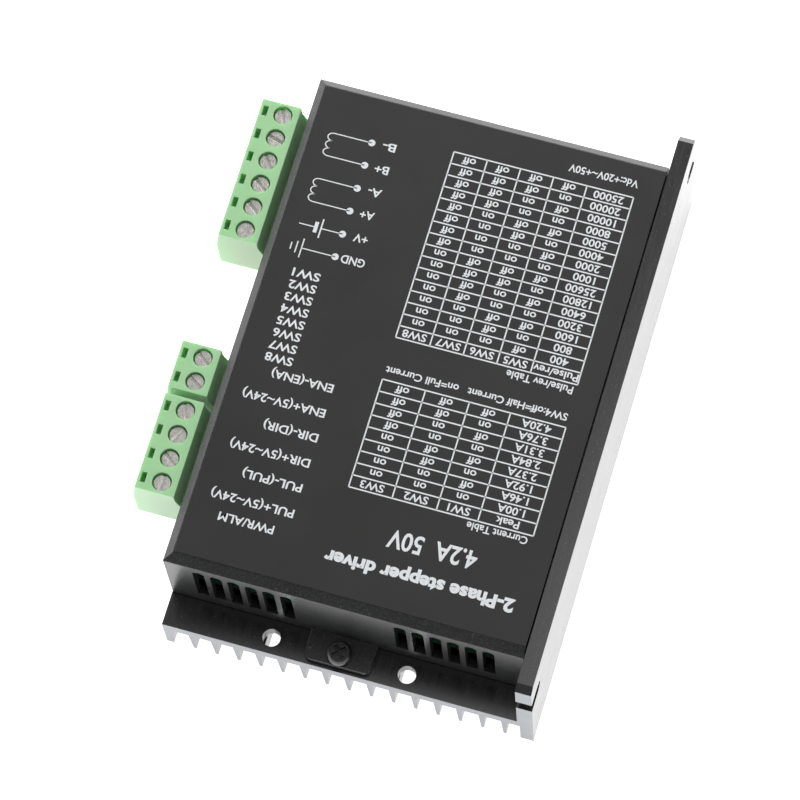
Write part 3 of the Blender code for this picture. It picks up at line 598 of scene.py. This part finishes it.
# %% Terminal names and symbols
names = Ink("print_terminal_names")
SIGNAL_NAMES = (("PWR/ALM", -18.5, -29.6, -42.0), ("PUL+(5V~24V)", -15.75, -32.4, -37.85),
                ("PUL-(PUL)", -15.75, -27.75, -32.5), ("DIR+(5V~24V)", -15.75, -31.85, -27.3),
                ("DIR-(DIR)", -15.75, -26.75, -21.95), ("ENA+(5V~24V)", -15.85, -32.6, -16.75),
                ("ENA-(ENA)", -15.85, -28.35, -11.45))
NAME_TEXT = 1.65 * MM
for words, start, end, top in SIGNAL_NAMES:
    names.words(words, start * MM, end * MM, top * MM, top * MM + NAME_TEXT, TEXT_WEIGHT)
for k in range(8):
    top = (-8.35 + 2.6 * k) * MM
    names.words(f"SW{8 - k}", -25.0 * MM, -30.6 * MM, top, top + NAME_TEXT, TEXT_WEIGHT)
POWER_NAMES = (("GND", -17.4, -22.25, 15.0), ("+V", -18.25, -21.15, 19.95), ("A+", -18.5, -21.35, 25.0),
               ("A-", -18.5, -21.2, 30.0), ("B+", -18.5, -21.35, 35.05), ("B-", -18.5, -21.2, 40.05))
for words, start, end, top in POWER_NAMES:
    names.words(words, start * MM, end * MM, top * MM, top * MM + NAME_TEXT, TEXT_WEIGHT)
names.done()

DOT_X, DOT_RADIUS = -23.45 * MM, 0.72 * MM
LEAD_WIDTH, PLATE_WIDTH = 0.22 * MM, 0.3 * MM
WINDING_X, LOOP_DEPTH, LOOPS = -31.15 * MM, 1.1 * MM, 3


def printed_winding(ink, first_y, last_y):
    """Two leads from their dots to a winding of half-round loops."""
    points = [(DOT_X, first_y)]
    step = (last_y - first_y) / LOOPS
    for loop in range(LOOPS):
        for i in range(9):
            angle = math.pi * i / 8
            points.append((WINDING_X - LOOP_DEPTH * math.sin(angle),
                           first_y + step * (loop + 0.5 - 0.5 * math.cos(angle))))
    points.append((DOT_X, last_y))
    ink.stroke(points, LEAD_WIDTH)
    for y in (first_y, last_y):
        ink.dot(DOT_X, y, DOT_RADIUS)


symbols = Ink("print_symbols")
printed_winding(symbols, 25.8 * MM, 30.8 * MM)
printed_winding(symbols, 35.9 * MM, 40.85 * MM)
GROUND_Y, SUPPLY_Y = 15.8 * MM, 20.75 * MM
symbols.dot(DOT_X, GROUND_Y, DOT_RADIUS)
symbols.stroke([(DOT_X, GROUND_Y), (-30.35 * MM, GROUND_Y)], LEAD_WIDTH)
for x, length in ((-30.35, 4.1), (-31.4, 2.5), (-32.5, 1.5)):
    symbols.stroke([(x * MM, GROUND_Y - length / 2 * MM), (x * MM, GROUND_Y + length / 2 * MM)], 0.25 * MM)
symbols.dot(DOT_X, SUPPLY_Y, DOT_RADIUS)
symbols.stroke([(DOT_X, SUPPLY_Y), (-27.7 * MM, SUPPLY_Y)], LEAD_WIDTH)
symbols.stroke([(-27.85 * MM, SUPPLY_Y - 2.05 * MM), (-27.85 * MM, SUPPLY_Y + 2.05 * MM)], PLATE_WIDTH)
symbols.stroke([(-28.9 * MM, SUPPLY_Y - 1.15 * MM), (-28.9 * MM, SUPPLY_Y + 1.15 * MM)], 0.75 * MM)
symbols.stroke([(-29.2 * MM, SUPPLY_Y), (-32.35 * MM, SUPPLY_Y)], LEAD_WIDTH)
symbols.done()
print("print on the label:", len(bpy.data.meshes["print_current_table"].polygons), "faces in the first table")

# %% [markdown]
# Nothing real has a perfectly sharp edge. The frame's solids do, so each one that can be seen gets a
# rounded copy: the node's own mesh, welded, with flat faces merged and its sharp edges bevelled. The
# copy stands for the node, so its size and place can't drift from the frame. Sawn metal stays sharp.

# %% Rounded copies of the frame's solids
WELD, FLAT_WITHIN, SHARP_FROM = 0.002 * MM, math.radians(0.6), math.radians(30)


def node_surface(node):
    """A node's mesh welded into one surface, with its flat faces merged."""
    bm = bmesh.new()
    bm.from_mesh(frame["nodes"][node].data)
    bmesh.ops.remove_doubles(bm, verts=bm.verts, dist=WELD)
    bmesh.ops.dissolve_limit(bm, angle_limit=FLAT_WITHIN, verts=bm.verts, edges=bm.edges)
    return bm


def body_of(node):
    bodies = frame["record"]["behaviour"]["bodies"]
    return next(body for body, nodes in bodies.items() if node in nodes)


def smooth_sides(piece, angle=32):
    """Smooth shading that leaves large faces flat, broken where faces meet more sharply than the angle."""
    piece.data.shade_smooth()
    piece.data.set_sharp_from_angle(angle=math.radians(angle))
    flat_faces = piece.modifiers.new("flat_faces", "WEIGHTED_NORMAL")
    flat_faces.keep_sharp = True
    return piece


def rounded(node, radius, wanted=None, segments=2):
    """A bevelled copy of a node. With wanted(edge), only the edges for which it is true are bevelled."""
    bm = node_surface(node)
    edges = [edge for edge in bm.edges
             if len(edge.link_faces) == 2 and edge.calc_face_angle() > SHARP_FROM
             and (wanted is None or wanted(edge))]
    bmesh.ops.bevel(bm, geom=edges, offset=radius, segments=segments, profile=0.5, affect="EDGES",
                    clamp_overlap=True)
    bmesh.ops.recalc_face_normals(bm, faces=bm.faces)
    piece = add_piece("round_" + node, bm, finish_of(node), body_of(node))
    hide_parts(node)
    return smooth_sides(piece)


VENT_BAND_Y, VENT_BAND_Z, VENT_BAND_X = 50 * MM, (15.5 * MM, 30.2 * MM), 36 * MM
SHORTEST_EASED, SHORTEST_DIE_EDGE = 0.6 * MM, 2 * MM


def not_in_a_vent(edge):
    """The cover's outline edges, away from the vents' thin bars and the screw holes."""
    x, y, z = (edge.verts[0].co + edge.verts[1].co) / 2
    in_vent_band = abs(y) > VENT_BAND_Y and VENT_BAND_Z[0] < z < VENT_BAND_Z[1] and abs(x) < VENT_BAND_X
    return not in_vent_band and edge.calc_length() > SHORTEST_EASED


def along_the_extrusion(edge):
    """Edges that the die rounds; the sawn ends and the drilled holes keep theirs."""
    step = edge.verts[1].co - edge.verts[0].co
    return abs(step.y) > 0.9 * step.length and step.length > SHORTEST_DIE_EDGE


CORNER_RADIUS = {"heatsink": (0.15, along_the_extrusion), "cover": (0.25, not_in_a_vent),
                 "label_film": (0.06, None), "selector_switch_body": (0.12, None),
                 "motor_plug": (0.16, None), "enable_plug": (0.16, None), "signal_plug": (0.16, None),
                 "motor_header": (0.15, None), "enable_header": (0.15, None), "signal_header": (0.15, None),
                 "clamp_bar": (0.25, None), "controller_chip": (0.12, None)}
ROUNDED_BY_START = {"terminal_screw": 0.07, "clamp_cage": 0.1, "selector_lever": 0.12, "half_bridge": 0.12,
                    "cover_screw": 0.06, "board_spacer": 0.1, "main_board": 0.08}
for name in sorted(frame["nodes"]):
    if name in CORNER_RADIUS:
        radius, wanted = CORNER_RADIUS[name]
        rounded(name, radius * MM, wanted)
    else:
        radius = next((r for start, r in ROUNDED_BY_START.items() if name.startswith(start)), None)
        if radius:
            rounded(name, radius * MM)
made = [o for o in bpy.data.objects if o.name.startswith("round_")]
print(len(made), "rounded copies,", sum(len(o.data.polygons) for o in made), "faces")

# %% [markdown]
# Small shapes that many pieces share: a box with eased edges, and a turned shape, which is a profile
# spun about an axis. Both are added to a bmesh, so several of them can make one piece. A modifier could
# bevel or spin just as well, but then each small shape would have to be an object of its own.

# %% Small shapes
ON_AXIS, SPUN_WELD = 1e-7, 0.0008 * MM


def eased_box(bm, low, high, radius=0.05 * MM, turn=0.0):
    """A box between two corners with its edges bevelled, turned about its own upright axis."""
    low, high = Vector(low), Vector(high)
    place = Matrix.Translation((low + high) / 2) @ Matrix.Rotation(turn, 4, "Z")
    made = bmesh.ops.create_cube(bm, size=1.0, matrix=place @ Matrix.Diagonal((*(high - low), 1)))
    edges = list({edge for vert in made["verts"] for edge in vert.link_edges})
    bmesh.ops.bevel(bm, geom=edges, offset=radius, segments=2, profile=0.5, affect="EDGES")


def spun(bm, profile, base, axis=(0, 0, 1), sides=24):
    """A profile of (radius, height) pairs turned about an axis through base."""
    turn = Vector((0, 0, 1)).rotation_difference(Vector(axis)).to_matrix().to_4x4()
    place = Matrix.Translation(base) @ turn
    verts = [bm.verts.new(place @ Vector((max(radius, ON_AXIS), 0, height))) for radius, height in profile]
    edges = [bm.edges.new(pair) for pair in zip(verts, verts[1:])]
    bmesh.ops.spin(bm, geom=verts + edges, cent=base, axis=place.to_3x3() @ Vector((0, 0, 1)),
                   angle=2 * math.pi, steps=sides, use_merge=True)
    bmesh.ops.remove_doubles(bm, verts=bm.verts, dist=SPUN_WELD)


def finished(name, bm, material, body, angle=35):
    """Cleans a bmesh's normals and turns it into a smooth-shaded piece."""
    bmesh.ops.recalc_face_normals(bm, faces=bm.faces)
    return smooth_sides(add_piece(name, bm, material, body), angle)


print("small shapes ready")

# %% [markdown]
# Inside each header a square pin per pole reaches into the plug's nose. Each has a tapered tip, which
# helps it find the plug's contact. The pins belong to the board, so they stay when a plug is pulled.

# %% Header pins
PIN_SIZE, PIN_TIP = 1.0 * MM, 0.8 * MM
PIN_REACH = 6.2 * MM         # how far a pin stands out of the header's back wall
HEADER_BACK_WALL = 2.2 * MM
PIN_TIP_INSET = 0.25 * MM
POLE_PITCH = 5.08 * MM


def add_pins(name):
    low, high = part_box(f"{name}_header")
    plug_low, plug_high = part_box(f"{name}_plug")
    poles = round((plug_high.y - plug_low.y) / POLE_PITCH)
    wall, z = high.x - HEADER_BACK_WALL, (low.z + high.z) / 2
    shape = Matrix.Diagonal((PIN_REACH, PIN_SIZE, PIN_SIZE, 1))
    tail_x = high.x + 0.1 * MM
    bm = bmesh.new()
    for i in range(poles):
        y = (low.y + high.y) / 2 + (i - (poles - 1) / 2) * POLE_PITCH
        place = Matrix.Translation((wall - PIN_REACH / 2, y, z))
        made = bmesh.ops.create_cube(bm, size=1.0, matrix=place @ shape)
        tip = list({face for vert in made["verts"] for face in vert.link_faces if face.normal.x < -0.9})
        bmesh.ops.inset_region(bm, faces=tip, thickness=PIN_TIP_INSET)
        bmesh.ops.translate(bm, verts=list({v for face in tip for v in face.verts}), vec=(-PIN_TIP, 0, 0))
        eased_box(bm, (tail_x, y - PIN_SIZE / 2, low.z + 0.2 * MM),
                  (tail_x + PIN_SIZE, y + PIN_SIZE / 2, z + PIN_SIZE / 2))
    return finished(f"{name}_header_pins", bm, gold, "housing")


for name in ("motor", "enable", "signal"):
    print(add_pins(name).name)

# %% [markdown]
# Under each screw, the plug holds a current bar that the cage pulls the wire against. It shows as a
# glint in the wire entry. It rides with its plug.

# %% Contact bars in the plugs
BAR_SIZE = (4.2 * MM, 1.3 * MM, 0.5 * MM)
BAR_BELOW_CAGE_TOP = 1.5 * MM     # just clear of the screw's tip
poles_of = {"motor": range(1, 7), "enable": range(7, 9), "signal": range(9, 13)}
for name, poles in poles_of.items():
    bm = bmesh.new()
    for pole in poles:
        low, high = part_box(f"clamp_cage_{pole:02d}")
        x, y, z = (low.x + high.x) / 2, (low.y + high.y) / 2, high.z - BAR_BELOW_CAGE_TOP
        eased_box(bm, (x - BAR_SIZE[0] / 2, y - BAR_SIZE[1] / 2, z - BAR_SIZE[2]),
                  (x + BAR_SIZE[0] / 2, y + BAR_SIZE[1] / 2, z), 0.08 * MM)
    finished(f"{name}_contact_bars", bm, cage_nickel, f"{name}_plug")
print("contact bars under", sum(len(poles) for poles in poles_of.values()), "screws")

# %% [markdown]
# Four small screws hold the board down on its spacers. A screw head is a turned shape, so it is drawn
# as half its outline, in millimetres from the axis and from the board, and spun once round.

# %% Board screws
BOARD_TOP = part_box("main_board")[1].z
SEAT_GAP = 0.02 * MM
BOARD_SCREW = [(0, 1.5), (0.9, 1.46), (1.7, 1.15), (2.15, 0.55), (2.2, 0.0), (1.0, 0.0), (1.0, -3.0),
               (0, -3.0)]


def add_board_screw(number):
    low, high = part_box(f"board_spacer_{number}")
    base = Vector(((low.x + high.x) / 2, (low.y + high.y) / 2, BOARD_TOP + SEAT_GAP))
    bm = bmesh.new()
    spun(bm, [(radius * MM, height * MM) for radius, height in BOARD_SCREW], base)
    return finished(f"board_screw_{number}", bm, black_steel, "housing")


for number in range(1, 5):
    add_board_screw(number)
print("4 board screws")

# %% [markdown]
# The controller chip stands on bent legs along its four sides. Each leg is one outline, a shoulder, a
# slope and a foot, drawn from the side and given a width, so that the bends are real shape.

# %% Chip legs
LEG_PITCH, LEG_WIDTH = 0.8 * MM, 0.3 * MM
LEG_OUTLINE = [(-0.05, 0.85), (0.35, 0.85), (0.55, 0.14), (1.0, 0.14), (1.0, 0.02), (0.42, 0.02),
               (0.25, 0.70), (-0.05, 0.70)]     # mm out of the chip's side, and up from the board


def add_chip_legs():
    low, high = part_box("controller_chip")
    half = (high.x - low.x) / 2
    count = int(2 * half / LEG_PITCH) - 1
    bm = bmesh.new()
    for side in range(4):
        place = Matrix.Translation(((low.x + high.x) / 2, (low.y + high.y) / 2, 0))
        turn = place @ Matrix.Rotation(side * math.pi / 2, 4, "Z")
        for i in range(count):
            across = (i - (count - 1) / 2) * LEG_PITCH
            rims = [[bm.verts.new(turn @ Vector((half + out * MM, across + sign * LEG_WIDTH / 2,
                                                 BOARD_TOP + up * MM)))
                     for out, up in LEG_OUTLINE] for sign in (-1, 1)]
            for j in range(len(LEG_OUTLINE)):
                k = (j + 1) % len(LEG_OUTLINE)
                bm.faces.new((rims[0][j], rims[0][k], rims[1][k], rims[1][j]))
            bm.faces.new(rims[0][::-1])
            bm.faces.new(rims[1])
    return finished("chip_legs", bm, zinc, "housing")


print(add_chip_legs().name)

# %% [markdown]
# Rows of chip resistors and ceramic capacitors fill the board. They stand on a loose grid with seeded
# jitter, which looks like a laid out board through the vents without copying any real circuit. Each
# has two plated ends, which are a little wider than its body.

# %% Chip resistors and ceramic capacitors
GRID_START, GRID_STEP = (-24, -44), (5.6, 7.3)      # mm
COLUMNS, ROWS = 9, 13
JITTER = (0.7, 0.9)                                 # mm
CHIP_LONG, CHIP_WIDE = 2.0 * MM, 1.2 * MM
CHIP_TALL = {"resistors": 0.55 * MM, "ceramics": 1.0 * MM}
END_HALF, END_PROUD = 0.2 * MM, 0.03 * MM
CERAMIC_TAN = (0.42, 0.27, 0.13)


def is_taken(x, y):
    """True under the bulk capacitors, the power chips and the controller, and at the board's ends."""
    under_capacitors = abs(x - -16.5 * MM) < 8.5 * MM and y > 14 * MM
    under_controller = abs(x - 4 * MM) < 9 * MM and abs(y + 14 * MM) < 9 * MM
    return under_capacitors or under_controller or x > 23 * MM or abs(y) > 44 * MM


def add_chip_part(body, ends, x, y, tall, upright):
    sx, sy = (CHIP_WIDE, CHIP_LONG) if upright else (CHIP_LONG, CHIP_WIDE)
    z = BOARD_TOP + SEAT_GAP
    eased_box(body, (x - sx / 2, y - sy / 2, z), (x + sx / 2, y + sy / 2, z + tall))
    for end in (-1, 1):
        shift, half_wide = end * CHIP_LONG * 0.46, CHIP_WIDE / 2 + END_PROUD
        mx, my = (x, y + shift) if upright else (x + shift, y)
        ex, ey = (half_wide, END_HALF) if upright else (END_HALF, half_wide)
        eased_box(ends, (mx - ex, my - ey, z), (mx + ex, my + ey, z + tall + END_PROUD), 0.03 * MM)


def add_small_parts():
    pick = random.Random(7)
    bodies = {"resistors": bmesh.new(), "ceramics": bmesh.new()}
    ends = bmesh.new()
    for row in range(ROWS):
        for column in range(COLUMNS):
            x = (GRID_START[0] + GRID_STEP[0] * column + pick.uniform(-JITTER[0], JITTER[0])) * MM
            y = (GRID_START[1] + GRID_STEP[1] * row + pick.uniform(-JITTER[1], JITTER[1])) * MM
            kind = pick.choice(("resistors", "ceramics"))
            upright = pick.random() < 0.5
            if not is_taken(x, y):
                add_chip_part(bodies[kind], ends, x, y, CHIP_TALL[kind], upright)
    finished("chip_resistors", bodies["resistors"], epoxy, "housing")
    finished("ceramic_capacitors", bodies["ceramics"], ceramic, "housing")
    finished("plated_ends", ends, zinc, "housing")


ceramic = make_moulded("ceramic", CERAMIC_TAN, 0.4, 0.15 * MM, 0.005 * MM, 1.2).material
add_small_parts()
print("board filled:", len(bpy.data.meshes["chip_resistors"].polygons), "resistor faces")

# %% [markdown]
# The two bulk capacitors are aluminium cans in a dark sleeve. Each gets a turned copy with a
# rolled edge, a bead near the board and a scored aluminium top, which is a separate disc.

# %% Bulk capacitors
CAN_EASE, BEAD_DEPTH, BEAD_TOP, BEAD_HEIGHT = 0.5 * MM, 0.45 * MM, 2.6 * MM, 1.4 * MM
TOP_SINK, TOP_THICK = 0.35 * MM, 0.16 * MM
SCORE_TURNS = (0.3, 0.3 + math.pi / 2)


def can_profile(radius, height):
    """Half the can's outline, from the middle of its top down to the middle of its foot."""
    rim = [(0, height - TOP_SINK), (radius * 0.8, height - TOP_SINK), (radius * 0.84, height)]
    corner = [(radius - CAN_EASE + CAN_EASE * math.sin(math.radians(a)),
               height - CAN_EASE + CAN_EASE * math.cos(math.radians(a))) for a in range(0, 91, 18)]
    bead = [(radius - BEAD_DEPTH * math.sin(math.radians(a)) ** 2, BEAD_TOP - BEAD_HEIGHT * a / 180)
            for a in range(0, 181, 20)]
    return rim + corner + bead + [(radius, 0.1 * MM), (radius - 0.1 * MM, 0), (0, 0)]


def add_capacitor(number):
    node = f"bulk_capacitor_{number}"
    low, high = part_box(node)
    base = Vector(((low.x + high.x) / 2, (low.y + high.y) / 2, low.z))
    radius, height = (high.x - low.x) / 2, high.z - low.z
    bm = bmesh.new()
    spun(bm, can_profile(radius, height), base, sides=40)
    piece = finished("round_" + node, bm, sleeve, "housing")
    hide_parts(node)
    top = bmesh.new()
    disc = [(0, TOP_THICK), (radius * 0.76, TOP_THICK), (radius * 0.79, 0.1 * MM), (radius * 0.79, 0), (0, 0)]
    spun(top, disc, base + Vector((0, 0, height - TOP_SINK + 0.01 * MM)), sides=40)
    for turn in SCORE_TURNS:
        place = Vector((base.x, base.y, base.z + height - 0.2 * MM))
        reach = Vector((radius * 0.6, 0.12 * MM, 0.03 * MM))
        eased_box(top, place - reach, place + reach, 0.02 * MM, turn)
    return finished(f"capacitor_top_{number}", top, zinc, "housing")


for number in (1, 2):
    print(add_capacitor(number).name)

# %% [markdown]
# The clamp bar is held against the four power chips by two screws with round heads.

# %% Clamp bar screws
CLAMP_SCREW = [(0, 1.7), (1.2, 1.65), (2.0, 1.3), (2.4, 0.6), (2.45, 0.0), (0, 0.0)]
CLAMP_SCREW_Y = 21.0 * MM
bar_low, bar_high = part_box("clamp_bar")
bm = bmesh.new()
for y in (-CLAMP_SCREW_Y, CLAMP_SCREW_Y):
    place = Vector((bar_low.x, y, (bar_low.z + bar_high.z) / 2))
    spun(bm, [(radius * MM, height * MM) for radius, height in CLAMP_SCREW], place, axis=(-1, 0, 0))
clamp_screws = finished("clamp_bar_screws", bm, black_steel, "housing")
print(clamp_screws.name, len(clamp_screws.data.polygons), "faces")
